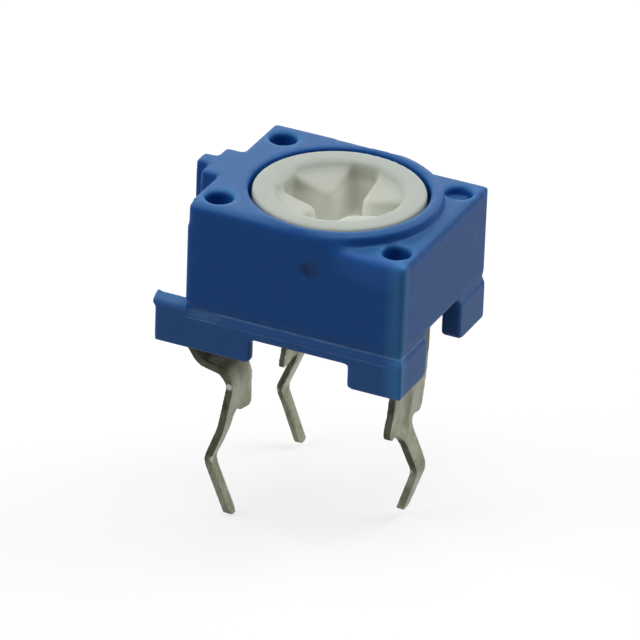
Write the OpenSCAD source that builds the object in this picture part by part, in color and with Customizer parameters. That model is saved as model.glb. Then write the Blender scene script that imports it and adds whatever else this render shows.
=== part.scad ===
// Single-turn trimmer potentiometer, open underneath, top adjust, with three kinked flat terminals.
// Millimetres. The origin is on the rotor's axis, in the plane of the housing's feet; +Z points out of
// the screwdriver slot, -Y is the front face with the notch between its feet, -X the side with the rail.

/* [Housing] */
// Width of the body, left to right
body_w = 7.44; // [7.3:0.02:7.8]
// Depth of the body, front to back
body_d = 6.35; // [6.35:0.05:6.6]
// Height of the top face above the feet
body_h = 5.15; // [5.1:0.05:5.4]
// Drop from the top face to the two right-hand corner lands
land_drop = 0.48; // [0.3:0.02:0.6]
// Thickness of the round collar
collar_wall = 0.35; // [0.32:0.01:0.42]
// Fillet between the collar and the lands
collar_fillet = 0.22; // [0.1:0.02:0.28]
// Thickness of the wall left between the rotor's bore and the front and back faces
bore_wall = 0.265; // [0.24:0.005:0.3]
// Thickness of the left and right walls
side_wall = 0.6; // [0.5:0.02:0.64]
// Thickness of the front and back walls beside the ceramic plate
skirt_wall = 0.255; // [0.2:0.005:0.28]
// Diameter of the blind corner holes
corner_hole_d = 0.88; // [0.7:0.02:0.92]
// Depth of the blind corner holes
corner_hole_depth = 1.9; // [1.2:0.1:2]
// Depth of the back right hole, which is only a shallow pocket
pocket_depth = 0.3; // [0.2:0.05:1]
// Distance of a corner hole's axis from the side faces
corner_inset_x = 0.64; // [0.6:0.02:0.7]
// Distance of a corner hole's axis from the front and back faces
corner_inset_y = 0.82; // [0.76:0.02:0.86]

/* [Feet, ears and rail] */
// How far the foot ledge stands proud of the walls
ledge_out = 0.08; // [0.04:0.01:0.12]
// Height of the ledge's upright face
ledge_h = 1.19; // [1:0.01:1.25]
// Height of the ledge's bevel
ledge_bevel = 0.23; // [0.1:0.01:0.24]
// Reach of the left ears beyond the left wall
ear_reach = 1.12; // [0.9:0.02:1.3]
// Thickness of an ear, front to back
ear_t = 0.4; // [0.34:0.02:0.44]
// Height of an ear above the feet
ear_h = 1.6; // [1.54:0.02:1.8]
// Bevel along an ear's upper outer edge
ear_bevel = 0.17; // [0.05:0.01:0.22]
// Height of the lip round an ear's upper end
ear_lip_h = 0.32; // [0.2:0.02:0.5]
// How far that lip stands out
ear_lip = 0.1; // [0.02:0.01:0.12]
// Height of the notches in the front and back walls
notch_h = 0.84; // [0.6:0.02:0.95]
// Distance of a notch's left end from the body's left face
notch_from = 2.26; // [2:0.02:2.6]
// Distance of a notch's right end from the body's right face
notch_to = 1.79; // [1.5:0.01:2.2]
// Height of the openings for the terminals in the side walls
port_h = 1.52; // [1.51:0.01:1.54]
// Front half of the opening in the right wall
gap_front = 1.23; // [1.1:0.01:1.4]
// Back half of the opening in the right wall
gap_back = 1.32; // [1.1:0.01:1.4]
// Width of the rail's base on the left wall
rail_w = 1.9; // [1.6:0.05:2]
// How far the rail's base stands out
rail_out = 0.72; // [0.5:0.02:0.8]
// Width of the narrow outer rail
rail_step_w = 0.63; // [0.5:0.01:0.8]
// How far the outer rail stands out from the left wall
rail_step_out = 1.18; // [1:0.02:1.3]
// How far the rail's middle lies in front of the axis
rail_shift = 0.05; // [0:0.01:0.1]

/* [Rotor] */
// Gap between the head and the collar
head_gap = 0.12; // [0.08:0.01:0.13]
// How far the head lies below the top face
head_sink = 0.08; // [0.04:0.01:0.2]
// Thickness of the head
head_t = 0.82; // [0.7:0.02:0.9]
// Rounding of the head's upper edge
head_round = 0.1; // [0.04:0.01:0.15]
// Width of the head's flat rim
rim_w = 0.7; // [0.6:0.01:0.8]
// Width of the steep side between the rim and the dish
dish_side = 0.17; // [0.1:0.01:0.25]
// Drop of that steep side
dish_step = 0.22; // [0.1:0.01:0.3]
// Depth of the dish's middle below the rim
dish_depth = 0.5; // [0.4:0.01:0.65]
// Radius of the dish's flat middle
dish_floor_r = 0.7; // [0.5:0.05:0.9]
// Width of the cross slot's arms
slot_w = 0.99; // [0.8:0.01:1.1]
// Distance from the rim to the ends of the cross slot's arms
slot_short = 0.08; // [0.05:0.01:0.3]
// Depth of the cross slot below the rim
slot_depth = 1.7; // [1.1:0.01:1.75]
// Rounding of the four corners between the slot's arms
slot_corner = 0.25; // [0.1:0.01:0.3]
// Step from the head in to the drum under it
drum_step = 0.34; // [0.33:0.01:0.38]
// Radius of the hub in the ceramic plate's hole
hub_r = 0.7; // [0.6:0.01:0.75]
// Running clearance round the hub
hub_play = 0.05; // [0.03:0.01:0.08]
// Angle taken by the rotor's stop sector
stop_sector_angle = 80; // [70:1:84]
// Angle taken by the housing's stop lug
stop_lug_angle = 24; // [16:1:26]

/* [Element] */
// Thickness of the ceramic plate
plate_t = 0.6; // [0.55:0.01:0.62]
// Play between the ceramic plate and the walls
plate_play = 0.05; // [0.03:0.01:0.06]
// How far the snap lugs reach under the ceramic plate
snap_reach = 0.15; // [0.1:0.01:0.18]
// Thickness of the printed films
film_t = 0.03; // [0.02:0.01:0.04]
// Width of the resistive track
track_w = 0.5; // [0.4:0.02:0.54]
// Half of the angle covered by the resistive track
track_half = 135; // [132:1:138]
// Distance from the hub to the collector ring
ring_space = 0.45; // [0.4:0.01:0.5]
// Width of the collector ring
ring_w = 0.4; // [0.3:0.02:0.44]
// Thickness of the wiper spring's strip
spring_t = 0.08; // [0.06:0.01:0.09]
// Gap between a contact finger and what it sweeps
contact_gap = 0.01; // [0.01:0.01:0.03]
// Outer radius of the retaining washer
washer_r = 1.05; // [0.95:0.01:1.1]
// Thickness of the retaining washer
washer_t = 0.2; // [0.15:0.01:0.22]

/* [Terminals] */
// Thickness of the terminal strip
strip_t = 0.26; // [0.2:0.01:0.27]
// Distance from an end terminal's outer edge to the wall beside it
end_space = 0.13; // [0.12:0.01:0.16]
// Width of an end terminal's blade
end_blade_w = 1.44; // [1.4:0.01:1.5]
// How much wider the terminals' wings are near their ends
wing_step = 0.07; // [0.02:0.01:0.1]
// Width of the wiper terminal's blade
wiper_blade_w = 2.4; // [2.2:0.02:2.42]
// Width of an end terminal's leg above its knee
end_leg_w = 0.68; // [0.62:0.01:0.75]
// Width of the wiper terminal's leg above its knee
wiper_leg_w = 0.75; // [0.66:0.01:0.84]
// Width of an end terminal's leg below its knee
end_tip_w = 0.44; // [0.4:0.01:0.5]
// Width of the wiper terminal's leg at its tip
wiper_tip_w = 0.5; // [0.42:0.01:0.56]
// Depth of the end terminals' shoulders below the feet
end_shoulder = 2.6; // [2.4:0.01:2.8]
// Depth of the wiper terminal's front shoulder below the feet
wiper_shoulder = 2.77; // [2.7:0.01:2.84]
// Depth of the knees below the feet
knee_drop = 4.15; // [4:0.01:4.2]
// Depth of the end terminals' tips below the feet
end_tip = 6; // [5.7:0.02:6.2]
// How much higher the back end terminal's tip is
back_tip_rise = 0.12; // [0:0.01:0.2]
// Depth of the wiper terminal's tip below the feet
wiper_tip = 5.76; // [5.5:0.02:6.1]

/* [Hidden] */
$fn = 96;
eps = 0.01;
far = 20;

// Outer planes of the body
half_w = body_w / 2;
half_d = body_d / 2;
land_h = body_h - land_drop;
foot_x = half_w + ledge_out;
foot_y = half_d + ledge_out;
ledge_top = ledge_h + ledge_bevel;

// Pocket for the ceramic plate and the bore above it
pocket_x = half_w - side_wall;
pocket_y = half_d - skirt_wall;
bore_r = half_d - bore_wall;
collar_r = bore_r + collar_wall;
plate_bottom = port_h + film_t;
plate_top = plate_bottom + plate_t;
plate_x = pocket_x - plate_play;
plate_y = pocket_y - plate_play;
pad_z = plate_bottom - film_t;
film_top = plate_top + film_t;
snap_h = 0.28;

// Rotor heights: head, drum, shoulder above the plate, and hub below it
head_top = body_h - head_sink;
head_bottom = head_top - head_t;
head_r = bore_r - head_gap;
rim_r = head_r - rim_w;
slot_r = rim_r - slot_short;
drum_r = head_r - drum_step;
drum_bottom = 2.85;
shoulder_r = hub_r + 0.15;
shoulder_gap = 0.05;
hub_bottom = plate_bottom - 0.4;
washer_top = plate_bottom - 0.05;
peg_r = 0.15;
peg_y = drum_r - 0.85;
peg_play = 0.01;

// Stop lug inside the bore; the sector on the drum meets its flanks at both ends of the turn
lug_in = drum_r + 0.05;
lug_bottom = drum_bottom + 0.05;
lug_top = head_bottom - 0.15;

// Wiper spring
spring_in = hub_r + 0.2;
spring_out = drum_r - 0.15;
track_r = drum_r - 0.25;
ring_r = hub_r + ring_space + ring_w / 2;
finger_w = 0.24;
finger_tip = 0.1;
window_x = 0.6;
window_y = 0.36;
spring_edge = 0.2;
finger_hold = 0.05;

// Printed ends of the track, and the metal that carries them through the plate
pad_angle = 17;
via_angle = track_half + pad_angle / 2;
via_r = 0.18;
ring_via_r = 0.15;
pad_out = plate_x - 0.1;
pad_in = -track_r * cos(via_angle) - 0.27;
pad_far = plate_y - 0.27;
pad_near = track_r * sin(via_angle) - via_r - 0.05;
strip_in = ring_r - ring_via_r - 0.05;
strip_y = 0.9;

// End terminals: centre line from the tab under the plate to the tip, in X and Z
end_edge = pocket_y - end_space;
end_inner = end_edge - end_blade_w;
tab_z = port_h - 0.02 - strip_t / 2;
riser_x = half_w + 0.21;
tab_end_x = -plate_x + 0.72;
end_path = [[tab_end_x, tab_z], [-riser_x, tab_z], [-riser_x, 0.09], [-riser_x + 0.51, -0.67],
            [-riser_x + 1.32, -0.84], [-riser_x + 1.62, -1.25], [-riser_x + 1.32, -2.93],
            [-riser_x + 0.865, -knee_drop], [-riser_x + 1.685, -end_tip - 0.03]];
end_runs = [0.26, 0.22, 0.24, 0.16, 0.2, 0.22, 0.22];
back_tip = end_tip - back_tip_rise;
back_path = [[tab_end_x, tab_z], [-riser_x, tab_z], [-riser_x, 0.09], [-riser_x + 0.51, -0.67],
             [-riser_x + 1.32, -0.84], [-riser_x + 1.63, -1.25], [-riser_x + 1.64, -2.45],
             [-riser_x + 1, -knee_drop + 0.13], [-riser_x + 1.74, -back_tip - 0.03]];

// Wings beside the legs: the front one twists with its leg, the back one is cut free of its leg
wing_bottom = end_shoulder + 0.33;
wing_high = 1.95;
wing_low = 2.15;
wing_round = 0.1;
front_wing_x = -riser_x + 1.6;
back_wing_x = -riser_x + 1.48;
front_slabs = 5;
back_slabs = 1;
leg_in = end_edge - end_leg_w;
tip_in = end_edge - end_tip_w;

// Wiper terminal: centre line from its tab under the plate to the tip
blade_x = half_w - 1.01;
wiper_tab_x = blade_x - 1;
wiper_path = [[wiper_tab_x, tab_z], [blade_x, tab_z], [blade_x, 0], [blade_x - 0.05, -1.2],
              [blade_x - 0.11, -1.9], [blade_x - 0.19, -wiper_shoulder + 0.05],
              [blade_x + 0.46, -knee_drop + 0.01], [blade_x - 0.08, -wiper_tip - 0.02]];
wiper_runs = [0.26, 0.1, 0.1, 0.1, 0.2, 0.24];
tab_half = 0.8;
bend_steps = 5;

// Solder at the tabs
solder_fillet = 0.12;
solder_inset = 0.19;
solder_climb = 0.06;
solder_len = 0.5;

// A short curve across each corner of a path, and the path's two sides
function unit(v) = v / norm(v);
function curve(a, b, c, run) =
    [for (i = [0:bend_steps])
        let (s = i / bend_steps, p = b + run * unit(a - b), q = b + run * unit(c - b))
            (1 - s) * (1 - s) * p + 2 * s * (1 - s) * b + s * s * q];
function bent(path, runs) =
    concat([path[0]],
           [for (i = [1:len(path) - 2]) each curve(path[i - 1], path[i], path[i + 1], runs[i - 1])],
           [path[len(path) - 1]]);
function heading(path, i) = unit(path[min(i + 1, len(path) - 1)] - path[max(i - 1, 0)]);
function side_line(path, off) =
    [for (i = [0:len(path) - 1]) let (d = heading(path, i)) path[i] + off * [-d[1], d[0]]];
function reversed(list) = [for (i = [len(list) - 1:-1:0]) list[i]];

// A strip bent along a path in X and Z, drawn wider than the part
module bent_strip(path, runs) {
    line = bent(path, runs);
    rotate([90, 0, 0])
        linear_extrude(body_d, center = true)
            polygon(concat(side_line(line, strip_t / 2), reversed(side_line(line, -strip_t / 2))));
}

// A stamped outline in Y and Z, cut right through along X
module stamped(outline) {
    rotate([90, 0, 90])
        linear_extrude(far, center = true)
            polygon(outline);
}

module block(x0, x1, y0, y1, z0, z1) {
    translate([x0, y0, z0])
        cube([x1 - x0, y1 - y0, z1 - z0]);
}

module front_and_back() {
    children();
    mirror([0, 1, 0]) children();
}

// A sector of a ring about the axis
module ring_sector(r_in, r_out, z0, z1, middle, width) {
    translate([0, 0, z0])
        rotate([0, 0, middle - width / 2])
            rotate_extrude(angle = width)
                translate([r_in, 0])
                    square([r_out - r_in, z1 - z0]);
}

// Body with its collar, the lands and the fillet between them
module body_block() {
    block(-half_w, half_w, -half_d, half_d, 0, land_h);
    block(-half_w, 0, -half_d, half_d, 0, body_h);
    intersection() {
        block(-half_w, half_w, -half_d, half_d, 0, body_h);
        union() {
            cylinder(r = collar_r, h = body_h);
            translate([0, 0, land_h])
                rotate_extrude()
                    difference() {
                        square([collar_r + collar_fillet, collar_fillet]);
                        translate([collar_r + collar_fillet, collar_fillet]) circle(r = collar_fillet);
                    }
        }
    }
}

// Ledge round the feet: an upright band with a bevel above it
module ledge_band() {
    for (side = [-1, 1])
        rotate([90, 0, 90])
            linear_extrude(2 * foot_x, center = true)
                polygon([[side * (half_d - eps), 0], [side * foot_y, 0], [side * foot_y, ledge_h],
                         [side * half_d, ledge_top], [side * (half_d - eps), ledge_top]]);
    rotate([90, 0, 0])
        linear_extrude(2 * foot_y, center = true)
            polygon([[half_w - eps, 0], [foot_x, 0], [foot_x, ledge_h], [half_w, ledge_top],
                     [half_w - eps, ledge_top]]);
}

// Ear that carries the front wall on past the left wall, with a lip round its upper end
module ear() {
    reach = half_w + ear_reach;
    difference() {
        union() {
            block(-reach, -half_w + eps, -foot_y, -foot_y + ear_t, 0, ear_h);
            block(-reach - ear_lip, -half_w, -foot_y, -foot_y + ear_t, ear_h - ear_lip_h, ear_h);
        }
        rotate([90, 0, 90])
            linear_extrude(far, center = true)
                polygon([[-foot_y - eps, ear_h - ear_bevel - eps], [-foot_y + ear_bevel + eps, ear_h + eps],
                         [-foot_y - eps, ear_h + eps]]);
    }
}

// Upright rail on the left wall
module rail() {
    middle = -rail_shift;
    block(-half_w - rail_out, -half_w + eps, middle - rail_w / 2, middle + rail_w / 2, port_h, body_h);
    block(-half_w - rail_step_out, -half_w, middle - rail_step_w / 2, middle + rail_step_w / 2,
          port_h, body_h);
}

module corner_holes() {
    for (sx = [-1, 1], sy = [-1, 1])
        translate([sx * (half_w - corner_inset_x), sy * (half_d - corner_inset_y),
                   (sx < 0 ? body_h : land_h) - (sx > 0 && sy > 0 ? pocket_depth : corner_hole_depth)])
            cylinder(d = corner_hole_d, h = body_h, $fn = 48);
}

// Opening outline with round upper corners and round feet beside it, from a to b
module opening(a, b, top, top_round, foot_round) {
    translate([a, -1]) square([b - a, 1 + top - top_round]);
    translate([a + top_round, 0]) square([b - a - 2 * top_round, top]);
    for (u = [a + top_round, b - top_round])
        translate([u, top - top_round]) circle(r = top_round, $fn = 32);
    difference() {
        translate([a - foot_round, -1]) square([b - a + 2 * foot_round, 1 + foot_round]);
        for (u = [a - foot_round, b + foot_round])
            translate([u, foot_round]) circle(r = foot_round, $fn = 32);
    }
}

// Opening in the right wall, through which the wiper terminal can be seen
module right_gap() {
    gap_round = 0.2;
    foot_round = 0.25;
    translate([pocket_x - 1, 0, 0])
        rotate([90, 0, 90])
            linear_extrude(side_wall + 2)
                opening(-gap_front, gap_back, port_h, gap_round, foot_round);
}

module wall_notches() {
    notch_round = 0.06;
    foot_round = 0.12;
    translate([0, foot_y + 1, 0])
        rotate([90, 0, 0])
            linear_extrude(2 * foot_y + 2)
                opening(-half_w + notch_from, half_w - notch_to, notch_h, notch_round, foot_round);
}

// Round mark left by the moulding gate on the front face
module gate_mark() {
    gate_x = 0.49;
    gate_z = 3.85;
    gate_d = 0.3;
    gate_depth = 0.05;
    translate([gate_x, -half_d + gate_depth, gate_z])
        rotate([90, 0, 0])
            cylinder(d = gate_d, h = 1, $fn = 32);
}

// Lugs on the front wall that the ceramic plate snaps past
module snap_lugs() {
    lug_len = 0.8;
    lug_x = pocket_x * 0.3;
    rotate([90, 0, 90])
        for (x = [-lug_x, lug_x])
            translate([0, 0, x])
                linear_extrude(lug_len, center = true)
                    polygon([[-pocket_y - eps, plate_bottom - snap_h], [-pocket_y, plate_bottom - snap_h],
                             [-pocket_y + snap_reach, plate_bottom - 0.12],
                             [-pocket_y + snap_reach, plate_bottom], [-pocket_y - eps, plate_bottom]]);
}

module housing() {
    color("#1f5fae") {
        difference() {
            union() {
                body_block();
                ledge_band();
                front_and_back() ear();
                rail();
            }
            translate([0, 0, plate_top - 1]) cylinder(r = bore_r, h = body_h);
            block(-pocket_x, pocket_x, -pocket_y, pocket_y, -1, plate_top);
            block(-foot_x - 1, -pocket_x + eps, -foot_y + ear_t, foot_y - ear_t, -1, port_h);
            right_gap();
            wall_notches();
            corner_holes();
            gate_mark();
        }
        front_and_back() snap_lugs();
        ring_sector(lug_in, bore_r + eps, lug_bottom, lug_top, 180, stop_lug_angle);
    }
}

// Cross slot with round corners between its arms
module cross_outline() {
    for (turn = [0, 90])
        rotate(turn)
            square([2 * slot_r, slot_w], center = true);
    for (turn = [0, 90, 180, 270])
        rotate(turn)
            translate([slot_w / 2 - eps, slot_w / 2 - eps])
                difference() {
                    square(slot_corner + eps);
                    translate([slot_corner + eps, slot_corner + eps]) circle(r = slot_corner, $fn = 32);
                }
}

module rotor() {
    color("#e8e8e4")
        difference() {
            union() {
                rotate_extrude()
                    polygon([[0, hub_bottom], [hub_r, hub_bottom], [hub_r, plate_top + shoulder_gap],
                             [shoulder_r, plate_top + shoulder_gap], [shoulder_r, drum_bottom],
                             [drum_r, drum_bottom], [drum_r, head_bottom], [head_r, head_bottom],
                             [head_r, head_top - head_round], [head_r - head_round, head_top],
                             [rim_r, head_top], [rim_r - dish_side, head_top - dish_step],
                             [dish_floor_r, head_top - dish_depth], [0, head_top - dish_depth]]);
                rotate_extrude()
                    translate([head_r - head_round, head_top - head_round])
                        intersection() {
                            circle(r = head_round, $fn = 48);
                            square(head_round);
                        }
                ring_sector(drum_r - 0.2, head_r, drum_bottom, head_bottom + eps, 0, stop_sector_angle);
                for (s = [-1, 1])
                    translate([0, s * peg_y, drum_bottom - spring_t - 0.05])
                        cylinder(r = peg_r, h = 0.5, $fn = 32);
            }
            translate([0, 0, head_top - slot_depth])
                linear_extrude(far) cross_outline();
        }
}

// One contact finger, from the spring's plate down to a rounded tip
module finger(from_x, to_x, sweep_z) {
    tip_z = sweep_z + contact_gap + finger_tip;
    top_z = drum_bottom - spring_t / 2;
    line = bent([[from_x, top_z], [from_x + (to_x - from_x) * 0.2, top_z], [to_x, tip_z]], [0.05]);
    rotate([90, 0, 0])
        linear_extrude(finger_w, center = true)
            polygon(concat(side_line(line, spring_t / 2), reversed(side_line(line, -spring_t / 2))));
    translate([to_x, 0, tip_z])
        rotate([90, 0, 0])
            cylinder(r = finger_tip, h = finger_w, center = true, $fn = 32);
}

module wiper_spring() {
    color("#c9b06a") {
        difference() {
            ring_sector(spring_in, spring_out, drum_bottom - spring_t, drum_bottom, 0, 360);
            block(track_r - window_x, spring_out + 1, -window_y, window_y, 0, body_h);
            block(-spring_out + spring_edge, -ring_r + finger_tip + eps, -window_y, window_y, 0, body_h);
            for (s = [-1, 1])
                translate([0, s * peg_y, 0])
                    cylinder(r = peg_r + peg_play, h = body_h, $fn = 32);
        }
        for (s = [-1, 1])
            translate([0, s * finger_w * 0.7, 0])
                finger(track_r - window_x - finger_hold, track_r, film_top);
        rotate([0, 0, 180])
            for (s = [-1, 1])
                translate([0, s * finger_w * 0.7, 0])
                    finger(spring_out - spring_edge + finger_hold, ring_r, film_top);
    }
}

module retaining_washer() {
    color("#b9bab2")
        ring_sector(hub_r, washer_r, washer_top - washer_t, washer_top, 0, 360);
}

module vias() {
    front_and_back()
        rotate([0, 0, -via_angle])
            translate([track_r, 0, plate_bottom])
                cylinder(r = via_r, h = plate_t, $fn = 32);
    translate([ring_r, 0, plate_bottom])
        cylinder(r = ring_via_r, h = plate_t, $fn = 32);
}

module substrate() {
    color("#e8e6de")
        difference() {
            block(-plate_x, plate_x, -plate_y, plate_y, plate_bottom, plate_top);
            translate([0, 0, plate_bottom - 1]) cylinder(r = hub_r + hub_play, h = 3);
            vias();
        }
}

module resistive_track() {
    color("#23211f")
        ring_sector(track_r - track_w / 2, track_r + track_w / 2, plate_top, film_top, 0, 2 * track_half);
}

module collector_track() {
    color("#b9b7ac") {
        ring_sector(ring_r - ring_w / 2, ring_r + ring_w / 2, plate_top, film_top, 0, 360);
        translate([ring_r, 0, pad_z]) cylinder(r = ring_via_r, h = film_top - pad_z, $fn = 32);
        block(strip_in, pad_out, -strip_y, strip_y, pad_z, plate_bottom);
    }
}

// Printed end of the track at the front, with the metal that carries it through to the underside
module end_pad() {
    ring_sector(track_r - track_w / 2, track_r + track_w / 2, plate_top, film_top, -via_angle, pad_angle);
    rotate([0, 0, -via_angle])
        translate([track_r, 0, pad_z]) cylinder(r = via_r, h = film_top - pad_z, $fn = 32);
    block(-pad_out, -pad_in, -pad_far, -pad_near, pad_z, plate_bottom);
}

module pad_ccw() {
    color("#b9b7ac") end_pad();
}

module pad_cw() {
    color("#b9b7ac") mirror([0, 1, 0]) end_pad();
}

// Blank of an end terminal: tab, blade with its wing, and a leg that narrows at its knee
module end_blank(tip) {
    outer = end_inner - wing_step;
    nip = end_tip_w * 0.3;
    low = -end_shoulder;
    stamped([[-end_inner, 2], [-end_edge, 2], [-end_edge, -tip + 0.08], [-end_edge + nip, -tip],
             [-tip_in - nip, -tip], [-tip_in, -tip + 0.08], [-tip_in, -knee_drop - 0.3],
             [-tip_in + 0.06, -knee_drop], [-leg_in, -knee_drop + 0.4], [-leg_in, low - 0.1],
             [-leg_in + 0.03, low + 0.1], [-leg_in + 0.08, low + 0.15], [-leg_in + 0.18, low + 0.06],
             [-leg_in + 0.3, low], [-outer - wing_round, low], [-outer, low + wing_round],
             [-outer, -wing_low], [-end_inner, -wing_high]]);
}

// Part of a bent strip between two planes across its width
module strip_slab(path, y0, y1) {
    intersection() {
        bent_strip(path, end_runs);
        block(-far, far, y0, y1, -far, far);
    }
}

// The wing's own centre line: as the leg's down to the blade, then straight to low_x
function wing_line(path, low_x) = concat([for (i = [0:5]) path[i]], [[low_x, -wing_bottom]]);

// End terminal with its wing at the back; across the wing's slabs the strip turns from leg_x to wing_x
module end_terminal(path, tip, leg_x, wing_x, slabs) {
    slab_w = (leg_in - end_inner + wing_step) / slabs;
    intersection() {
        union() {
            strip_slab(path, -end_edge, -leg_in + eps);
            for (i = [1:slabs])
                strip_slab(wing_line(path, leg_x + (wing_x - leg_x) * i / slabs),
                           -leg_in + slab_w * (i - 1), -leg_in + slab_w * i + (i < slabs ? eps : 0));
        }
        end_blank(tip);
    }
}

module terminal_ccw() {
    color("#a3a496") end_terminal(end_path, end_tip, end_path[6][0], front_wing_x, front_slabs);
}

module terminal_cw() {
    color("#a3a496")
        mirror([0, 1, 0]) end_terminal(back_path, back_tip, back_path[6][0], back_wing_x, back_slabs);
}

// Blank of the wiper terminal: narrow tab, blade with two wings, and a tapering leg
module wiper_blank() {
    half = wiper_blade_w / 2;
    low = -wiper_shoulder;
    wing = half + wing_step;
    leg = wiper_leg_w / 2;
    tip = wiper_tip_w / 2;
    neck = 0.95;
    blade_top = 0.75;
    stamped([[tab_half, 2], [tab_half, neck], [half, blade_top], [half, low + 0.3],
             [half - 0.06, low + 0.15], [half - 0.18, low + 0.09], [half - 0.45, low + 0.14],
             [leg + 0.26, low + 0.16], [leg + 0.14, low + 0.1], [leg + 0.06, low], [leg, low - 0.2],
             [leg - 0.02, -knee_drop], [tip, -wiper_tip + 0.1], [tip * 0.5, -wiper_tip],
             [-tip * 0.5, -wiper_tip], [-tip, -wiper_tip + 0.1], [-leg + 0.02, -knee_drop],
             [-leg, low - 0.5], [-leg - 0.08, low - 0.28], [-leg - 0.26, low - 0.08],
             [-leg - 0.44, low + 0.05], [-leg - 0.56, low + 0.02], [-wing + 0.2, low],
             [-wing + 0.06, low + 0.06], [-wing, low + 0.2], [-wing, -wing_low], [-half, -wing_high],
             [-half, blade_top], [-tab_half, neck], [-tab_half, 2]]);
}

module terminal_wiper() {
    color("#a3a496")
        intersection() {
            bent_strip(wiper_path, wiper_runs);
            wiper_blank();
        }
}

// Solder round the end of the front end terminal's tab
module end_solder() {
    difference() {
        block(-pad_out, tab_end_x + solder_fillet, -end_edge + solder_inset, -end_inner + solder_fillet,
              tab_z - solder_climb, pad_z);
        bent_strip_end();
    }
}

// The stretch of the end terminals' tab that the solder surrounds
module bent_strip_end() {
    intersection() {
        bent_strip(end_path, end_runs);
        block(-far, far, -end_edge, -end_inner, 0, 2);
    }
}

module solder_ccw() {
    color("#b5b6b0") end_solder();
}

module solder_cw() {
    color("#b5b6b0") mirror([0, 1, 0]) end_solder();
}

module solder_wiper() {
    half = tab_half - 0.05;
    color("#b5b6b0")
        difference() {
            block(wiper_tab_x - solder_fillet, wiper_tab_x + solder_len, -half, half,
                  tab_z - solder_climb, pad_z);
            bent_strip(wiper_path, wiper_runs);
        }
}

housing();
rotor();
wiper_spring();
retaining_washer();
substrate();
resistive_track();
collector_track();
pad_ccw();
pad_cw();
terminal_ccw();
terminal_wiper();
terminal_cw();
solder_ccw();
solder_wiper();
solder_cw();
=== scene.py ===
import math
import bpy
import bmesh
from mathutils import Matrix, Vector


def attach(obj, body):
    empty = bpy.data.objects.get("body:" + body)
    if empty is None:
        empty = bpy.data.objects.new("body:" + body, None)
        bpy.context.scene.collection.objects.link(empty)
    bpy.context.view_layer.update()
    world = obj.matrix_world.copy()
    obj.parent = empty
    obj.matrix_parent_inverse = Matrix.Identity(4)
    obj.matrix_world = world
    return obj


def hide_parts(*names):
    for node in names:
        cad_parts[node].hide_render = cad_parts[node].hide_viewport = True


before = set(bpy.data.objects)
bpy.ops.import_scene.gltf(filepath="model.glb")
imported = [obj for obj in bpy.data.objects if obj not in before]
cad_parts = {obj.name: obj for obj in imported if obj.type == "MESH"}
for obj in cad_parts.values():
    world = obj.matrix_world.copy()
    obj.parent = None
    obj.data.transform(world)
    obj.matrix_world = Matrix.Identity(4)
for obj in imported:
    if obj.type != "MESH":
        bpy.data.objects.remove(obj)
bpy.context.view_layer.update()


# Camera
# The photograph is a long, nearly parallel view from the front and right, looking down by about 28
# degrees, with the part leaning 2 degrees. Place and lens are fitted to the part's straight edges.
MM = 0.001
EYE_MM = Vector((77.861, -174.346, 102.236))
RIGHT = Vector((0.9041137, 0.4259801, 0.0334563))
DOWN = Vector((0.2273843, -0.4133578, -0.8817209))
LOOK = Vector((-0.3617661, 0.8047834, -0.4705836))
SENSOR_MM = 36.0
LENS_MM = 380.434
NEAREST_M = 0.01
FARTHEST_M = 10.0

camera_data = bpy.data.cameras.new("photo_camera")
camera_data.sensor_width = SENSOR_MM
camera_data.lens = LENS_MM
camera_data.clip_start = NEAREST_M
camera_data.clip_end = FARTHEST_M
camera = bpy.data.objects.new("photo_camera", camera_data)
bpy.context.scene.collection.objects.link(camera)
camera_turn = Matrix((RIGHT, -DOWN, -LOOK)).transposed().to_4x4()
camera.matrix_world = Matrix.Translation(EYE_MM * MM) @ camera_turn
bpy.context.scene.camera = camera
bpy.context.scene.view_settings.view_transform = "Standard"


# Housing
# One moulding of blue glass-filled thermoplastic: walls, collar, corner coring holes, feet, ears and rail.
# Every outer edge has the small radius that the mould gives it, and the ear carries a little flash.
HOUSING_VOXEL_MM = 0.06
HOUSING_PASSES = 4
WALL_X_MM = 3.72
WALL_Y_MM = 3.175
TOP_Z_MM = 5.15
LAND_Z_MM = 4.67
LEDGE_Z_MM = 1.42
BEVEL_Z_MM = 1.11
HOLE_X_MM = 3.08
HOLE_Y_MM = 2.355
COLLAR_IN_MM = 3.1
COLLAR_OUT_MM = 3.34


def linear(code):
    """An sRGB hex colour as the linear colour that a shader takes."""
    parts = [int(code[i:i + 2], 16) / 255 for i in (1, 3, 5)]
    return tuple(c / 12.92 if c <= 0.04045 else ((c + 0.055) / 1.055) ** 2.4 for c in parts) + (1.0,)


def add(tree, kind, sockets=None, **settings):
    """Adds a node with its settings, its socket values and its links."""
    node = tree.nodes.new(kind)
    for key, value in settings.items():
        setattr(node, key, value)
    for key, value in (sockets or {}).items():
        if isinstance(value, bpy.types.NodeSocket):
            tree.links.new(value, node.inputs[key])
        else:
            node.inputs[key].default_value = value
    return node


def new_finish(name):
    """An empty material with its shader, its output and the piece's own coordinates in millimetres."""
    material = bpy.data.materials.new(name)
    material.use_nodes = True
    tree = material.node_tree
    tree.nodes.clear()
    shader = add(tree, "ShaderNodeBsdfPrincipled")
    add(tree, "ShaderNodeOutputMaterial", {"Surface": shader.outputs["BSDF"]})
    place = add(tree, "ShaderNodeTexCoord")
    in_mm = add(tree, "ShaderNodeMapping", {"Vector": place.outputs["Object"], "Scale": (1 / MM,) * 3})
    return material, tree, shader, in_mm.outputs["Vector"]


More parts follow.
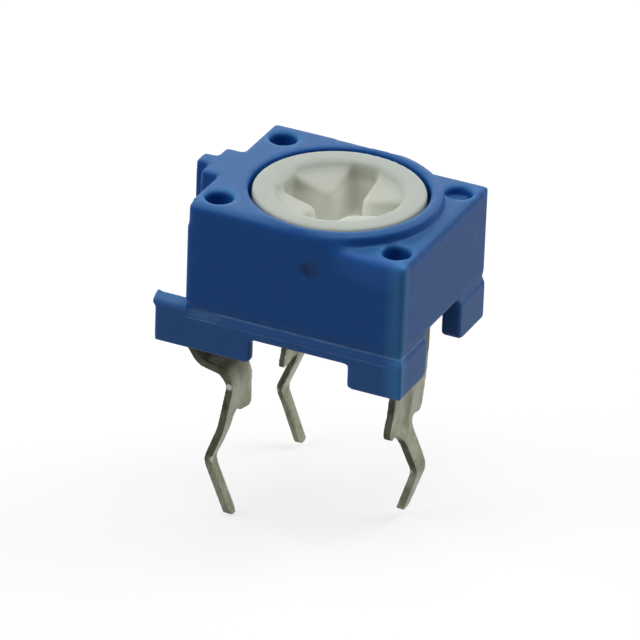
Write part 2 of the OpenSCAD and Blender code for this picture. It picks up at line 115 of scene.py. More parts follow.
def tinted(tree, below, share, colour, *masks):
    """A colour laid over the one below by this share, where every mask reaches."""
    for mask in masks:
        share = add(tree, "ShaderNodeMath", {0: mask, 1: share}, operation="MULTIPLY").outputs[0]
    return add(tree, "ShaderNodeMix", {"Factor": share, "A": below, "B": colour},
               data_type="RGBA").outputs["Result"]


def band(tree, value, centre, solid, fade):
    """1 within the solid distance of a value's centre, falling to 0 at the fade distance."""
    off = add(tree, "ShaderNodeMath", {0: value, 1: centre}, operation="SUBTRACT")
    away = add(tree, "ShaderNodeMath", {0: off.outputs[0]}, operation="ABSOLUTE")
    inside = add(tree, "ShaderNodeMapRange", {"Value": away.outputs[0], "From Min": solid, "From Max": fade,
                                              "To Min": 1.0, "To Max": 0.0}, interpolation_type="SMOOTHSTEP")
    return inside.outputs["Result"]


def patch(tree, mm, centre, radii):
    """1 at the centre of an ellipsoid and 0 outside it."""
    scale = tuple(1 / r for r in radii)
    shift = tuple(-c / r for c, r in zip(centre, radii))
    local = add(tree, "ShaderNodeMapping", {"Vector": mm, "Location": shift, "Scale": scale})
    far = add(tree, "ShaderNodeVectorMath", {0: local.outputs["Vector"]}, operation="LENGTH")
    inside = add(tree, "ShaderNodeMapRange",
                 {"Value": far.outputs["Value"], "From Min": 0.35, "From Max": 1.0,
                  "To Min": 1.0, "To Max": 0.0}, interpolation_type="SMOOTHSTEP")
    return inside.outputs["Result"]


def held(value):
    """A value held between 0 and 1."""
    return min(1.0, max(0.0, value))


def wear(work, verts, passes):
    """Rounds the edges and corners among these vertices, a little more with each pass."""
    for _ in range(passes):
        bmesh.ops.smooth_vert(work, verts=verts, factor=0.5,
                              use_axis_x=True, use_axis_y=True, use_axis_z=True)


def softened(node, voxel_mm, passes, finish):
    """A copy of a CAD node as one fine skin in millimetres, worn round, finished by the given step, then in
    metres.
    """
    work = bmesh.new()
    work.from_mesh(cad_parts[node].data)
    bmesh.ops.remove_doubles(work, verts=work.verts, dist=1e-7)
    bmesh.ops.scale(work, vec=(1 / MM,) * 3, verts=work.verts)
    coarse = bpy.data.meshes.new(node + "_merged")
    work.to_mesh(coarse)
    work.free()
    holder = bpy.data.objects.new(node + "_merged", coarse)
    bpy.context.scene.collection.objects.link(holder)
    remesh = holder.modifiers.new("skin", "REMESH")
    remesh.mode = "VOXEL"
    remesh.voxel_size = voxel_mm
    remesh.use_smooth_shade = True
    bpy.context.view_layer.update()
    skin = bpy.data.meshes.new_from_object(holder.evaluated_get(bpy.context.evaluated_depsgraph_get()))
    bpy.data.objects.remove(holder)
    bpy.data.meshes.remove(coarse)
    work = bmesh.new()
    work.from_mesh(skin)
    wear(work, work.verts, passes)
    finish(work)
    bmesh.ops.scale(work, vec=(MM,) * 3, verts=work.verts)
    work.to_mesh(skin)
    work.free()
    return skin


def put(name, mesh, material, node, body):
    """Puts a finished mesh in the scene in place of its CAD node."""
    mesh.name = name
    mesh.materials.clear()
    mesh.materials.append(material)
    for face in mesh.polygons:
        face.use_smooth = True
    piece = bpy.data.objects.new(name, mesh)
    bpy.context.scene.collection.objects.link(piece)
    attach(piece, body)
    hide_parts(node)


EAR_TOP_Z_MM = 1.6
EAR_OUT_Y_MM = 3.255
EAR_T_MM = 0.4
EAR_ROUND_MM = 0.38
EAR_ROUND_SHARE = 0.95
EAR_GAP_MM = 0.05


def round_ears(work):
    """Rounds the top of both ears towards the outside."""
    for vert in work.verts:
        x, y, z = vert.co
        inward = abs(y) - EAR_OUT_Y_MM + EAR_T_MM
        if x > -WALL_X_MM - EAR_GAP_MM or z < EAR_TOP_Z_MM - EAR_ROUND_MM or inward < 0:
            continue
        rise = min(z - EAR_TOP_Z_MM + EAR_ROUND_MM, EAR_ROUND_MM)
        give = EAR_ROUND_MM - (EAR_ROUND_MM ** 2 - rise ** 2) ** 0.5
        vert.co.y -= math.copysign(give * held(inward / EAR_T_MM) * EAR_ROUND_SHARE, y)


SPREAD_LEFT_MM = 0.075
SPREAD_RIGHT_MM = 0.05
SPREAD_Y_MM = 0.072
SPREAD_FROM_MM = 0.45
SPREAD_RISE_MM = 0.3
COLLAR_SPREAD_MM = 0.06
LAND_RISE_MM = 0.06
LAND_REACH_MM = 0.1
RAIL_GAP_MM = 0.1


def spread_walls(work):
    """Spreads the walls above the ledge, widens the collar and lifts the lands on the right."""
    for vert in work.verts:
        x, y, z = vert.co
        if z < LEDGE_Z_MM:
            continue
        grown = min(1.0, (z - LEDGE_Z_MM) / SPREAD_RISE_MM)
        by_x = held((abs(x) - WALL_X_MM + SPREAD_FROM_MM) / SPREAD_FROM_MM)
        by_y = held((abs(y) - WALL_Y_MM + SPREAD_FROM_MM) / SPREAD_FROM_MM)
        out = vert.co.xy.length
        if x > -WALL_X_MM - RAIL_GAP_MM:
            vert.co.x += math.copysign(grown * by_x * (SPREAD_RIGHT_MM if x > 0 else SPREAD_LEFT_MM), x)
        if out > COLLAR_IN_MM:
            vert.co.y += math.copysign(grown * by_y * SPREAD_Y_MM, y)
        if z > LAND_Z_MM + LAND_REACH_MM and COLLAR_IN_MM < out < COLLAR_OUT_MM:
            vert.co.xy *= 1 + COLLAR_SPREAD_MM * (1 - by_y) / out
        elif out > COLLAR_IN_MM and abs(z - LAND_Z_MM) < LAND_REACH_MM:
            vert.co.z += LAND_RISE_MM


CORNER_REACH_MM = 0.34
CORNER_PASSES = 3
FRONT_CORNER_PASSES = 8
FRONT_ENDS_Y_MM = (2.7, 2.2, 1.7)
HOLE_LIP_MM = 0.56
LIP_PASSES = 3
COLLAR_FOOT_MM = 3.6
COLLAR_PASSES = 12
LEDGE_GAP_MM = 0.1
STEP_MM = 0.15


def round_corners(work):
    """Wears the long outer edges round, the front ones most, and runs the collar's foot into the top."""
    near, front, lips, collar = [], [], [], []
    for vert in work.verts:
        x, y, z = vert.co
        out = vert.co.xy.length
        if z < LEDGE_Z_MM + LEDGE_GAP_MM or out < COLLAR_IN_MM:
            continue
        by_x = abs(abs(x) - WALL_X_MM) < CORNER_REACH_MM
        by_y = abs(abs(y) - WALL_Y_MM) < CORNER_REACH_MM
        by_top = abs(z - TOP_Z_MM) < CORNER_REACH_MM or abs(z - LAND_Z_MM) < CORNER_REACH_MM
        from_hole = Vector((abs(x) - HOLE_X_MM, abs(y) - HOLE_Y_MM)).length
        if from_hole < HOLE_LIP_MM:
            lips.append(vert)
        elif out < COLLAR_FOOT_MM and z > LAND_Z_MM - STEP_MM:
            collar.append(vert)
        if from_hole > HOLE_LIP_MM and (by_x + by_y + by_top > 1 or z > LAND_Z_MM + STEP_MM):
            near.append(vert)
            if (by_x and x > 0) + (by_y and y < 0) + by_top > 1:
                front.append(vert)
    wear(work, near, CORNER_PASSES)
    for back_end in FRONT_ENDS_Y_MM:
        wear(work, [vert for vert in front if vert.co.y < back_end], FRONT_CORNER_PASSES)
    wear(work, collar, COLLAR_PASSES)
    wear(work, [vert for vert in lips if vert.co.z > LAND_Z_MM - STEP_MM], LIP_PASSES)


BURR_MM = Vector((-4.86, -2.87, 1.58))
BURR_REACH_MM = 0.11
BURR_RISE_MM = 0.07


def finish_housing(work):
    """Gives the housing its mould radii and the small burr on the front ear."""
    round_ears(work)
    spread_walls(work)
    round_corners(work)
    for vert in work.verts:
        reach = (vert.co - BURR_MM).length
        if reach < BURR_REACH_MM:
            vert.co.z += BURR_RISE_MM * (1 - reach / BURR_REACH_MM)


# Blue moulded thermoplastic: satin, a little cloudy, with pale flecks of glass near the surface. The mould's
# sparked grain is nearer 0.03 mm and would not show, so it is drawn at 0.11 mm.
CLOUD_MM = 1.25
GRAIN_MM = 0.111
FLECK_MM = 0.0667
housing_plastic, tree, shader, mm = new_finish("blue_moulded_thermoplastic")
cloud = add(tree, "ShaderNodeTexNoise", {"Vector": mm, "Scale": 1 / CLOUD_MM, "Detail": 4.0,
                                         "Roughness": 0.6})
grain = add(tree, "ShaderNodeTexNoise", {"Vector": mm, "Scale": 1 / GRAIN_MM, "Detail": 3.0,
                                         "Roughness": 0.65})
sheen_band = add(tree, "ShaderNodeMapRange", {"Value": grain.outputs["Fac"], "From Min": 0.3,
                                              "From Max": 0.7, "To Min": 0.4, "To Max": 0.56})
relief = add(tree, "ShaderNodeBump", {"Height": grain.outputs["Fac"], "Strength": 0.12,
                                      "Distance": 0.02 * MM})
fleck = add(tree, "ShaderNodeTexNoise", {"Vector": mm, "Scale": 1 / FLECK_MM, "Detail": 2.0,
                                         "Roughness": 0.7})
flecks = add(tree, "ShaderNodeMapRange", {"Value": fleck.outputs["Fac"], "From Min": 0.48,
                                          "From Max": 0.68}, interpolation_type="SMOOTHSTEP")
turned = add(tree, "ShaderNodeTexCoord")
upward = add(tree, "ShaderNodeSeparateXYZ", {"Vector": turned.outputs["Normal"]})
painted_top_sheen = add(tree, "ShaderNodeMapRange", {"Value": upward.outputs["Z"], "From Min": 0.5, "From Max": 0.9},
               interpolation_type="SMOOTHSTEP")

# Rubbed and lit places: the ledge's two edges are painted paler, partly as wear and partly as a painted
# highlight. The front corner, the skirt below the ledge and the ear tops are painted paler as painted light,
# and the scuff beside the front ear is scratched wear. The gate on the front wall is a dark dimple.
RUB_MM = 0.385
SCRATCH_MM = (0.333, 0.2, 0.0667)
CORNER_X_MM = 3.77
CORNER_Y_MM = -3.25
PAINTED_WALL_GLOW_MM = ((2.7, -3.25, 4.35), (1.8, 0.5, 0.9))
SCUFF_MM = ((-3.1, -3.25, 1.32), (0.85, 0.5, 0.27))
GATE_MM = ((0.48, -3.23, 3.85), (0.42, 0.4, 0.4))
EAR_LIGHT_R_MM = (1.0, 0.7, 0.3)
HOLE_LIGHT_R_MM = (0.75, 0.75, 1.5)
HOLE_LIP_SHINE_R_MM = (0.8, 0.8, 0.3)
HOLE_MIDDLE_MM = Vector((0.0, 0.0, 1.4))
x, y, z = add(tree, "ShaderNodeSeparateXYZ", {"Vector": mm}).outputs
rub = add(tree, "ShaderNodeTexNoise", {"Vector": mm, "Scale": 1 / RUB_MM, "Detail": 4.0, "Roughness": 0.7})
rubbed_and_lit = add(tree, "ShaderNodeMapRange", {"Value": rub.outputs["Fac"], "From Min": 0.35, "From Max": 0.6,
                                          "To Min": 0.35, "To Max": 1.0}).outputs["Result"]
past_scuff = add(tree, "ShaderNodeMapRange", {"Value": x, "From Min": -2.9, "From Max": -2.6},
                 interpolation_type="SMOOTHSTEP").outputs["Result"]
off_ear = add(tree, "ShaderNodeMapRange", {"Value": x, "From Min": -3.75, "From Max": -3.6},
              interpolation_type="SMOOTHSTEP").outputs["Result"]
fading = add(tree, "ShaderNodeMapRange", {"Value": x, "From Min": -3.0, "From Max": -2.4, "To Min": 0.8,
                                          "To Max": 0.35}).outputs["Result"]
near_side = add(tree, "ShaderNodeMapRange", {"Value": y, "From Min": -1.5, "From Max": 1.0, "To Min": 1.0,
                                             "To Max": 0.25}).outputs["Result"]
painted_skirt_light = add(tree, "ShaderNodeMapRange", {"Value": z, "From Min": 1.45, "From Max": 1.35},
            interpolation_type="SMOOTHSTEP").outputs["Result"]
upper_line = band(tree, z, LEDGE_Z_MM, 0.015, 0.055)
lower_line = band(tree, z, BEVEL_Z_MM, 0.01, 0.05)
scratch_space = add(tree, "ShaderNodeMapping", {"Vector": mm, "Scale": tuple(1 / s for s in SCRATCH_MM),
                                                "Rotation": (0.0, 0.3, 0.0)})
scratches = add(tree, "ShaderNodeTexNoise", {"Vector": scratch_space.outputs["Vector"], "Scale": 1.0,
                                             "Detail": 3.0, "Roughness": 0.6})
scratched = add(tree, "ShaderNodeMapRange", {"Value": scratches.outputs["Fac"], "From Min": 0.35,
                                             "From Max": 0.65, "To Min": 0.25, "To Max": 0.8})
tint = tinted(tree, linear("#094f99"), 1.0, linear("#0d59a6"), cloud.outputs["Fac"])
tint = tinted(tree, tint, 0.4, linear("#1f68b4"), flecks.outputs["Result"])
# Painted sheen: faces that point up are coloured paler and greener, standing in for the sheen they catch.
tint = tinted(tree, tint, 0.85, linear("#2b669f"), painted_top_sheen.outputs["Result"])
# Painted light: the skirt below the ledge is coloured a little paler, as if lit where its bevel faces up.
tint = tinted(tree, tint, 0.22, linear("#5f86b4"), painted_skirt_light)
# Painted light: the upper front wall right of the middle is coloured paler, standing in for a glow of light.
tint = tinted(tree, tint, 0.6, linear("#2c6ec4"), patch(tree, mm, *PAINTED_WALL_GLOW_MM))
# Painted highlight down the front right corner, where the rounded edge turns towards the light.
tint = tinted(tree, tint, 0.8, linear("#458dca"), band(tree, x, CORNER_X_MM, 0.1, 0.75),
              band(tree, y, CORNER_Y_MM, 0.1, 0.6))
# Painted light on the tops of both ears.
for ear_y in (-3.0, 3.0):
    tint = tinted(tree, tint, 0.6, linear("#5b93c9"),
                  patch(tree, mm, (-4.4, ear_y, EAR_TOP_Z_MM), EAR_LIGHT_R_MM))
# Painted light inside the four corner holes, where shade would fall, and a painted highlight on their lips.
for side_x, top in ((-1, TOP_Z_MM), (1, LAND_Z_MM + LAND_RISE_MM)):
    for side_y in (-1, 1):
        mouth = Vector((HOLE_X_MM * side_x, HOLE_Y_MM * side_y, top))
        tint = tinted(tree, tint, 1.0, linear("#5c9ce4"),
                      patch(tree, mm, mouth - HOLE_MIDDLE_MM, HOLE_LIGHT_R_MM))
        tint = tinted(tree, tint, 0.7, linear("#4088c0"), patch(tree, mm, mouth, HOLE_LIP_SHINE_R_MM))
# Wear and painted highlight: the ledge's two edges are coloured pale in broken patches, strongest at the
# front.
tint = tinted(tree, tint, 0.7, linear("#7fa9d8"), upper_line, rubbed_and_lit, past_scuff, near_side)
tint = tinted(tree, tint, 1.0, linear("#6f9bd0"), lower_line, rubbed_and_lit, fading, off_ear, near_side)
tint = tinted(tree, tint, 0.8, linear("#5f86b4"), patch(tree, mm, *SCUFF_MM), scratched.outputs["Result"])
tint = tinted(tree, tint, 0.75, linear("#083468"), patch(tree, mm, *GATE_MM))
tree.links.new(tint, shader.inputs["Base Color"])
tree.links.new(sheen_band.outputs["Result"], shader.inputs["Roughness"])
tree.links.new(relief.outputs["Normal"], shader.inputs["Normal"])
shader.inputs["IOR"].default_value = 1.5
shader.inputs["Specular IOR Level"].default_value = 0.22
shader.inputs["Subsurface Weight"].default_value = 0.5
shader.inputs["Subsurface Radius"].default_value = (0.2, 0.6, 1.0)
shader.inputs["Subsurface Scale"].default_value = 0.4 * MM

put("housing_moulding", softened("housing", HOUSING_VOXEL_MM, HOUSING_PASSES, finish_housing),
    housing_plastic, "housing", "base")


# Rotor
# One moulding of white polyester: dished head with a cross slot, and the drum, hub and pegs below it. Its
# hub turns in the ceramic plate, and its head in the housing's collar.
ROTOR_VOXEL_MM = 0.045
ROTOR_PASSES = 6
DISH_R_MM = 2.45
DISH_FLOOR_MM = 3.2
DISH_PASSES = 42
SLOT_R_MM = 2.05
SLOT_HALF_MM = 0.6
SLOT_END_MM = 0.1
SHORTER_MM = 0.24
SHORT_FROM_MM = 1.0
DRAFT_TOP_MM = 4.8
DRAFT_DEPTH_MM = 1.4
SIDE_DRAFT = 0.35
FRONT_DRAFT = 0.12
ARM_FROM_MM = 0.5
ARM_FADE_MM = 0.3
RIM_LIFT_MM = 0.05
LIFT_FROM_MM = 4.4
LIFT_FADE_MM = 0.45


def finish_head(work):
    """Narrows the slot downwards, shortens one of its arms, rounds the dish's lips and lifts the rim."""
    dish = [vert for vert in work.verts
            if vert.co.xy.length < DISH_R_MM and vert.co.z > DISH_FLOOR_MM]
    for vert in dish:
        x, y, z = vert.co
        deep = held((DRAFT_TOP_MM - z) / DRAFT_DEPTH_MM)
        if abs(y) < SLOT_HALF_MM and -SLOT_R_MM - SLOT_END_MM < x < -SHORT_FROM_MM:
            vert.co.x += SHORTER_MM * (-x - SHORT_FROM_MM) / (SLOT_R_MM - SHORT_FROM_MM)
        if abs(y) < SLOT_HALF_MM and abs(x) < SLOT_R_MM:
            vert.co.y *= 1 - SIDE_DRAFT * deep * held((abs(x) - ARM_FROM_MM) / ARM_FADE_MM)
        if abs(x) < SLOT_HALF_MM and abs(y) < SLOT_R_MM:
            vert.co.x *= 1 - FRONT_DRAFT * deep * held((abs(y) - ARM_FROM_MM) / ARM_FADE_MM)
    wear(work, dish, DISH_PASSES)
    for vert in work.verts:
        vert.co.z += RIM_LIFT_MM * held((vert.co.z - LIFT_FROM_MM) / LIFT_FADE_MM)


# White moulded polyester: matt and slightly see-through, so light softens its edges. The rim is coloured a
# little greyer, and the slot's deeper walls are painted lighter, as painted light in their shade. The grain
# of 0.02 mm is drawn at 0.09 mm.
ROTOR_CLOUD_MM = 0.833
ROTOR_GRAIN_MM = 0.0909
rotor_plastic, tree, shader, mm = new_finish("white_moulded_polyester")
cloud = add(tree, "ShaderNodeTexNoise", {"Vector": mm, "Scale": 1 / ROTOR_CLOUD_MM, "Detail": 3.0,
                                         "Roughness": 0.55})
grain = add(tree, "ShaderNodeTexNoise", {"Vector": mm, "Scale": 1 / ROTOR_GRAIN_MM, "Detail": 3.0,
                                         "Roughness": 0.6})
relief = add(tree, "ShaderNodeBump", {"Height": grain.outputs["Fac"], "Strength": 0.1,
                                      "Distance": 0.015 * MM})
height = add(tree, "ShaderNodeSeparateXYZ", {"Vector": mm}).outputs["Z"]
rim = add(tree, "ShaderNodeMapRange", {"Value": height, "From Min": 4.9, "From Max": 5.02},
          interpolation_type="SMOOTHSTEP")
# Painted light: the slot's deeper walls are coloured lighter to brighten their shade.
painted_slot_light = add(tree, "ShaderNodeMapRange", {"Value": height, "From Min": 4.75, "From Max": 4.35},
            interpolation_type="SMOOTHSTEP")
tint = tinted(tree, linear("#c3c7bb"), 1.0, linear("#cdd1c4"), cloud.outputs["Fac"])
tint = tinted(tree, tint, 0.85, linear("#b8c0b8"), rim.outputs["Result"])
tint = tinted(tree, tint, 1.0, linear("#e8eae2"), painted_slot_light.outputs["Result"])
tree.links.new(tint, shader.inputs["Base Color"])
tree.links.new(relief.outputs["Normal"], shader.inputs["Normal"])
shader.inputs["Roughness"].default_value = 0.55
shader.inputs["IOR"].default_value = 1.5
shader.inputs["Specular IOR Level"].default_value = 0.2
shader.inputs["Subsurface Weight"].default_value = 0.9
shader.inputs["Subsurface Radius"].default_value = (1.0, 0.95, 0.8)
shader.inputs["Subsurface Scale"].default_value = 0.4 * MM

put("rotor_moulding", softened("rotor", ROTOR_VOXEL_MM, ROTOR_PASSES, finish_head), rotor_plastic,
    "rotor", "rotor")


# Terminals
# Three stamped and bent strips of tinned iron-nickel alloy, soldered under the ceramic plate. The two end
# terminals carry a wing above their legs, and the wiper terminal's blade is stiffened by a pressed rib.
TERMINAL_VOXEL_MM = 0.03
TERMINAL_PASSES = 3
WING_EDGE_MM = 2.45
WING_TOP_MM = -0.35
WING_PASSES = 60
WAVE_MM = 0.035
WAVE_FADE_MM = 0.9
WAVES_PER_MM = (17.0, 6.1)
WAVE_START = 1.0
RIB_HALF_MM = 0.28
RIB_RISE_MM = 0.085
RIB_TOP_MM = -0.9
RIB_END_MM = -3.0
RIB_FADE_MM = 0.3


def flatten_wing(work):
    """The end terminal's wing and leg are one smooth sheet with a slightly wavy sheared edge."""
    wing = [vert for vert in work.verts if abs(vert.co.y) < WING_EDGE_MM and vert.co.z < WING_TOP_MM]
    for _ in range(WING_PASSES):
        bmesh.ops.smooth_vert(work, verts=wing, factor=0.5, use_axis_x=True)
    for vert in wing:
        x, y, z = vert.co
        edge = held((WING_EDGE_MM - abs(y)) / WAVE_FADE_MM)
        wave = math.sin(z * WAVES_PER_MM[0]) * math.sin(z * WAVES_PER_MM[1] + WAVE_START)
        vert.co.y -= math.copysign(WAVE_MM * edge * wave, y)


def emboss_rib(work):
    """A pressed rib stiffens the middle of the wiper terminal's blade."""
    for vert in work.verts:
        x, y, z = vert.co
        if abs(y) < RIB_HALF_MM and RIB_END_MM < z < RIB_TOP_MM:
            across = math.cos(math.pi * y / (2 * RIB_HALF_MM)) ** 2
            along = min(1.0, (RIB_TOP_MM - z) / RIB_FADE_MM, (z - RIB_END_MM) / RIB_FADE_MM)
            vert.co.x += RIB_RISE_MM * across * along


# Tinned strip: a soft grey shine with streaks along the leg, and dark torn metal on the sheared edges,
# painted lighter towards the tips as painted light from the floor. Painted highlights sit at the bends, and
# painted shade darkens the strip near the plate, under the housing's foot. Real rolling lines are about 0.01
# mm apart and are drawn at 0.06 mm.
STREAK_MM = (0.0625, 0.0625, 1.667)
SPOT_MM = 0.625
PAINTED_GLINTS_MM = ((-2.85, -2.79, -4.1), (-2.35, -2.79, -1.31), (-3.0, 2.2, -3.95), (3.0, -0.25, -4.15))
PAINTED_GLINT_R_MM = (0.16, 0.2, 0.15)
terminal_metal, tree, shader, mm = new_finish("tinned_strip")
streak_space = add(tree, "ShaderNodeMapping", {"Vector": mm, "Scale": tuple(1 / s for s in STREAK_MM)})
streaks = add(tree, "ShaderNodeTexNoise", {"Vector": streak_space.outputs["Vector"], "Scale": 1.0,
                                           "Detail": 4.0, "Roughness": 0.6})
faces = add(tree, "ShaderNodeTexCoord")
axes = add(tree, "ShaderNodeSeparateXYZ", {"Vector": faces.outputs["Normal"]})
across = add(tree, "ShaderNodeMath", {0: axes.outputs["Y"]}, operation="ABSOLUTE")
sheared = add(tree, "ShaderNodeMapRange", {"Value": across.outputs[0], "From Min": 0.55, "From Max": 0.85},
              interpolation_type="SMOOTHSTEP")
spots = add(tree, "ShaderNodeTexNoise", {"Vector": mm, "Scale": 1 / SPOT_MM, "Detail": 2.0,
                                         "Roughness": 0.5})
uneven = add(tree, "ShaderNodeMath", {0: streaks.outputs["Fac"], 1: spots.outputs["Fac"]}, operation="ADD")
evened = add(tree, "ShaderNodeMapRange", {"Value": uneven.outputs[0], "From Min": 0.7, "From Max": 1.3},
             interpolation_type="SMOOTHSTEP")
height = add(tree, "ShaderNodeSeparateXYZ", {"Vector": mm}).outputs["Z"]
tip_floor_light = add(tree, "ShaderNodeMapRange", {"Value": height, "From Min": -4.4, "From Max": -3.95,
                                              "To Min": 0.5, "To Max": 1.0})
painted_shade_under_foot = add(tree, "ShaderNodeMapRange", {"Value": height, "From Min": -0.95, "From Max": -0.3},
                 interpolation_type="SMOOTHSTEP")
rough = add(tree, "ShaderNodeMapRange", {"Value": streaks.outputs["Fac"], "From Min": 0.3, "From Max": 0.7,
                                         "To Min": 0.3, "To Max": 0.5})
relief = add(tree, "ShaderNodeBump", {"Height": streaks.outputs["Fac"], "Strength": 0.15,
                                      "Distance": 0.015 * MM})
tin = tinted(tree, linear("#717361"), 1.0, linear("#989a87"), evened.outputs["Result"])
torn = tinted(tree, linear("#34362a"), 1.0, linear("#525447"), evened.outputs["Result"])
# Painted light: the sheared edges are painted lighter towards the tips, where they catch light from the
# floor.
tin = tinted(tree, tin, 1.0, torn, sheared.outputs["Result"], tip_floor_light.outputs["Result"])
# Painted highlights: bright spots at the bends.
for bend in PAINTED_GLINTS_MM:
    tin = tinted(tree, tin, 0.6, linear("#c9cbbf"), patch(tree, mm, bend, PAINTED_GLINT_R_MM))
# Painted shade near the plate, under the housing's foot.
tin = tinted(tree, tin, 0.85, linear("#35362c"), painted_shade_under_foot.outputs["Result"])
tree.links.new(tin, shader.inputs["Base Color"])
tree.links.new(rough.outputs["Result"], shader.inputs["Roughness"])
tree.links.new(relief.outputs["Normal"], shader.inputs["Normal"])
shader.inputs["Metallic"].default_value = 1.0

for end, finish in (("ccw", flatten_wing), ("wiper", emboss_rib), ("cw", flatten_wing)):
    put("tinned_terminal_" + end, softened("terminal_" + end, TERMINAL_VOXEL_MM, TERMINAL_PASSES, finish),
        terminal_metal, "terminal_" + end, "base")


# Wiper spring and retaining washer
# The spring is stamped from thin hard-rolled brass with four contact fingers and sits on the rotor's
# pegs. The steel washer is pressed on the rotor's hub under the ceramic plate.
SPRING_GRAIN_MM = 0.06
WASHER_GRAIN_MM = 0.08
STAIN_MM = 0.588


def dress(node, material):
    """Gives a CAD node that stays its own material."""
    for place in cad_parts[node].material_slots:
        place.material = material


def rolled_metal(name, dark, light, grain_mm, dull):
    """Thin rolled metal: fine lines along X, small stains and an uneven gloss. The real lines are about
    0.01 mm apart, too fine to show, so they are drawn several times as coarse."""
    metal, tree, shader, mm = new_finish(name)
    lines_space = add(tree, "ShaderNodeMapping", {"Vector": mm, "Scale": (1.0, 1 / grain_mm, 1 / grain_mm)})
    lines = add(tree, "ShaderNodeTexNoise", {"Vector": lines_space.outputs["Vector"], "Scale": 1.0,
                                             "Detail": 3.0, "Roughness": 0.6})
    stains = add(tree, "ShaderNodeTexNoise", {"Vector": mm, "Scale": 1 / STAIN_MM, "Detail": 3.0})
    mixed = add(tree, "ShaderNodeMath", {0: lines.outputs["Fac"], 1: stains.outputs["Fac"]},
                operation="ADD")
    evened = add(tree, "ShaderNodeMapRange", {"Value": mixed.outputs[0], "From Min": 0.75,
                                              "From Max": 1.25}, interpolation_type="SMOOTHSTEP")
    gloss = add(tree, "ShaderNodeMapRange", {"Value": lines.outputs["Fac"], "From Min": 0.3, "From Max": 0.7,
                                             "To Min": dull - 0.08, "To Max": dull + 0.1})
    relief = add(tree, "ShaderNodeBump", {"Height": lines.outputs["Fac"], "Strength": 0.12,
                                          "Distance": 0.01 * MM})
    tree.links.new(tinted(tree, linear(dark), 1.0, linear(light), evened.outputs["Result"]),
                   shader.inputs["Base Color"])
    tree.links.new(gloss.outputs["Result"], shader.inputs["Roughness"])
    tree.links.new(relief.outputs["Normal"], shader.inputs["Normal"])
    shader.inputs["Metallic"].default_value = 1.0
    return metal


dress("wiper_spring", rolled_metal("rolled_spring_brass", "#a8843c", "#cfae62", SPRING_GRAIN_MM, 0.3))
dress("retaining_washer", rolled_metal("stamped_washer_steel", "#8a8b86", "#b3b4ae", WASHER_GRAIN_MM, 0.4))


# Ceramic plate and its printed films
# The plate is fired alumina, off-white and matt. The resistive track is a dark cermet film and the
# collector and pads are a silver-palladium film, all screen printed on the plate and fired.
# The alumina's own grain is under 0.01 mm and is drawn at 0.07 mm, so that it shows as a fine grit.
GRIT_MM = 0.0714
FIRING_CLOUD_MM = 1.11
WEAVE_MM = 0.0909
FLOW_MM = 0.333
alumina, tree, shader, mm = new_finish("fired_alumina")
grit = add(tree, "ShaderNodeTexNoise", {"Vector": mm, "Scale": 1 / GRIT_MM, "Detail": 3.0,
                                        "Roughness": 0.7})
clouds = add(tree, "ShaderNodeTexNoise", {"Vector": mm, "Scale": 1 / FIRING_CLOUD_MM, "Detail": 2.0})
specks = add(tree, "ShaderNodeMapRange", {"Value": grit.outputs["Fac"], "From Min": 0.3, "From Max": 0.7,
                                          "To Min": 0.55, "To Max": 0.75})
relief = add(tree, "ShaderNodeBump", {"Height": grit.outputs["Fac"], "Strength": 0.2,
                                      "Distance": 0.01 * MM})
tree.links.new(tinted(tree, linear("#dedace"), 1.0, linear("#ece9de"), clouds.outputs["Fac"]),
               shader.inputs["Base Color"])
tree.links.new(specks.outputs["Result"], shader.inputs["Roughness"])
tree.links.new(relief.outputs["Normal"], shader.inputs["Normal"])
shader.inputs["IOR"].default_value = 1.76
dress("substrate", alumina)


def printed_film(name, dark, light, metallic, dull):
    """A fired screen print: the mesh's weave of about 0.09 mm stays in it as a faint grid."""
    film, tree, shader, mm = new_finish(name)
    weave = add(tree, "ShaderNodeTexVoronoi", {"Vector": mm, "Scale": 1 / WEAVE_MM, "Randomness": 0.25})
    flow = add(tree, "ShaderNodeTexNoise", {"Vector": mm, "Scale": 1 / FLOW_MM, "Detail": 3.0,
                                            "Roughness": 0.6})
    gloss = add(tree, "ShaderNodeMapRange", {"Value": flow.outputs["Fac"], "From Min": 0.3, "From Max": 0.7,
                                             "To Min": dull - 0.08, "To Max": dull + 0.1})
    relief = add(tree, "ShaderNodeBump", {"Height": weave.outputs["Distance"], "Strength": 0.15,
                                          "Distance": 0.01 * MM})
    tree.links.new(tinted(tree, linear(dark), 1.0, linear(light), flow.outputs["Fac"]),
                   shader.inputs["Base Color"])
    tree.links.new(gloss.outputs["Result"], shader.inputs["Roughness"])
    tree.links.new(relief.outputs["Normal"], shader.inputs["Normal"])
    shader.inputs["Metallic"].default_value = metallic
    return film


dress("resistive_track", printed_film("printed_cermet", "#1b1a18", "#2c2926", 0.0, 0.42))
conductor = printed_film("printed_silver_palladium", "#9d9a8e", "#c4c1b5", 1.0, 0.4)
for node in ("collector_track", "pad_ccw", "pad_cw"):
    dress(node, conductor)


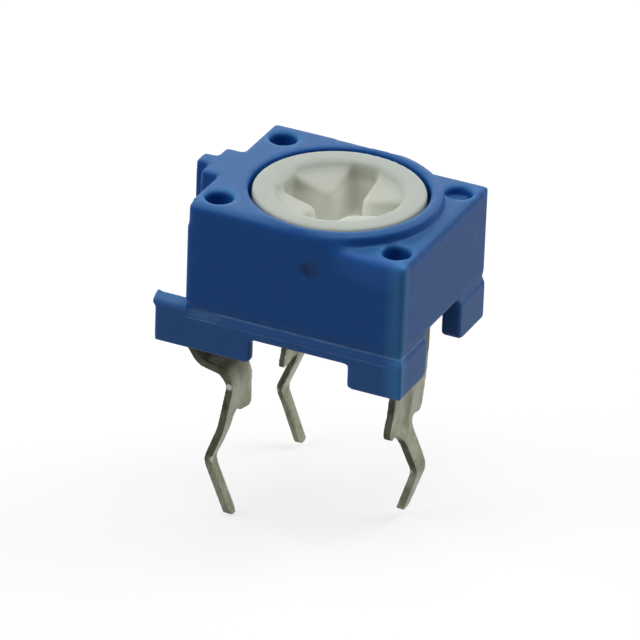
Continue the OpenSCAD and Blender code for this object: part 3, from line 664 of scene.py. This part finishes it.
# Solder
# Three reflowed joints hold the terminals' tabs to the printed pads under the plate: smooth, silvery,
# with a slight frosting where the tin froze.
FROST_MM = 0.2
solder, tree, shader, mm = new_finish("reflowed_solder")
frost = add(tree, "ShaderNodeTexNoise", {"Vector": mm, "Scale": 1 / FROST_MM, "Detail": 4.0,
                                         "Roughness": 0.65})
shine = add(tree, "ShaderNodeMapRange", {"Value": frost.outputs["Fac"], "From Min": 0.35, "From Max": 0.65,
                                         "To Min": 0.16, "To Max": 0.42})
relief = add(tree, "ShaderNodeBump", {"Height": frost.outputs["Fac"], "Strength": 0.2,
                                      "Distance": 0.02 * MM})
tree.links.new(tinted(tree, linear("#9fa19c"), 1.0, linear("#d0d2cc"), frost.outputs["Fac"]),
               shader.inputs["Base Color"])
tree.links.new(shine.outputs["Result"], shader.inputs["Roughness"])
tree.links.new(relief.outputs["Normal"], shader.inputs["Normal"])
shader.inputs["Metallic"].default_value = 1.0
for end in ("ccw", "wiper", "cw"):
    dress("solder_" + end, solder)


# Floor and light
# A pale matt table at the terminals' tips, one wide soft light above with four weaker ones round it, and
# the paper's white all round, which the camera, gloss and glass see but which doesn't light the part.
FLOOR_Z_MM = -6.05
FLOOR_HALF_M = 1.5
PAPER_WHITE = 0.72
ROOM_LIGHT = 0.04
WHITE = (1, 1, 1, 1)
floor_mesh = bpy.data.meshes.new("table_top")
work = bmesh.new()
bmesh.ops.create_grid(work, x_segments=1, y_segments=1, size=FLOOR_HALF_M)
bmesh.ops.translate(work, vec=(0, 0, FLOOR_Z_MM * MM), verts=work.verts)
work.to_mesh(floor_mesh)
work.free()
floor = bpy.data.objects.new("table_top", floor_mesh)
bpy.context.scene.collection.objects.link(floor)


def seen_directly(tree):
    """1 for what the camera sees itself or in gloss or glass, and 0 for light that falls on the part."""
    rays = add(tree, "ShaderNodeLightPath")
    gloss = add(tree, "ShaderNodeMath", {0: rays.outputs["Is Camera Ray"], 1: rays.outputs["Is Glossy Ray"]},
                operation="MAXIMUM")
    either = add(tree, "ShaderNodeMath", {0: gloss.outputs[0], 1: rays.outputs["Is Transmission Ray"]},
                 operation="MAXIMUM")
    return either.outputs[0]


# White paper: quite matt, and it keeps the part's faint shadow.
paper = bpy.data.materials.new("white_paper")
paper.use_nodes = True
tree = paper.node_tree
tree.nodes.clear()
glow = add(tree, "ShaderNodeMath", {0: seen_directly(tree), 1: PAPER_WHITE}, operation="MULTIPLY")
shader = add(tree, "ShaderNodeBsdfPrincipled", {"Base Color": linear("#a0a0a0"), "Roughness": 0.9,
                                                "Specular IOR Level": 0.0, "Emission Color": WHITE,
                                                "Emission Strength": glow.outputs[0]})
add(tree, "ShaderNodeOutputMaterial", {"Surface": shader.outputs["BSDF"]})
floor_mesh.materials.append(paper)

world = bpy.data.worlds.new("studio")
world.use_nodes = True
tree = world.node_tree
tree.nodes.clear()
lit = add(tree, "ShaderNodeMix", {"Factor": seen_directly(tree), "A": ROOM_LIGHT, "B": 1.0},
          data_type="FLOAT")
sky = add(tree, "ShaderNodeBackground", {"Color": WHITE, "Strength": lit.outputs["Result"]})
add(tree, "ShaderNodeOutputWorld", {"Surface": sky.outputs["Background"]})
bpy.context.scene.world = world


def soft_light(name, place_mm, aim_mm, size_mm, power):
    """A square soft light that faces a point of the part."""
    data = bpy.data.lights.new(name, "AREA")
    data.size = size_mm * MM
    data.energy = power
    lamp = bpy.data.objects.new(name, data)
    bpy.context.scene.collection.objects.link(lamp)
    lamp.location = Vector(place_mm) * MM
    lamp.rotation_euler = (Vector(aim_mm) - Vector(place_mm)).to_track_quat("-Z", "Y").to_euler()


soft_light("overhead", (0, 0, 200), (0, 0, 3), 160, 0.176)
soft_light("back_right", (110, 110, 140), (0, 0, 3), 120, 0.154)
soft_light("front_left", (-140, -110, 140), (0, 0, 2), 120, 0.116)
soft_light("left", (-190, -20, 90), (0, 0, 2), 120, 0.087)
soft_light("back_low", (-75, 165, 95), (0, 0, 4), 130, 0.05)
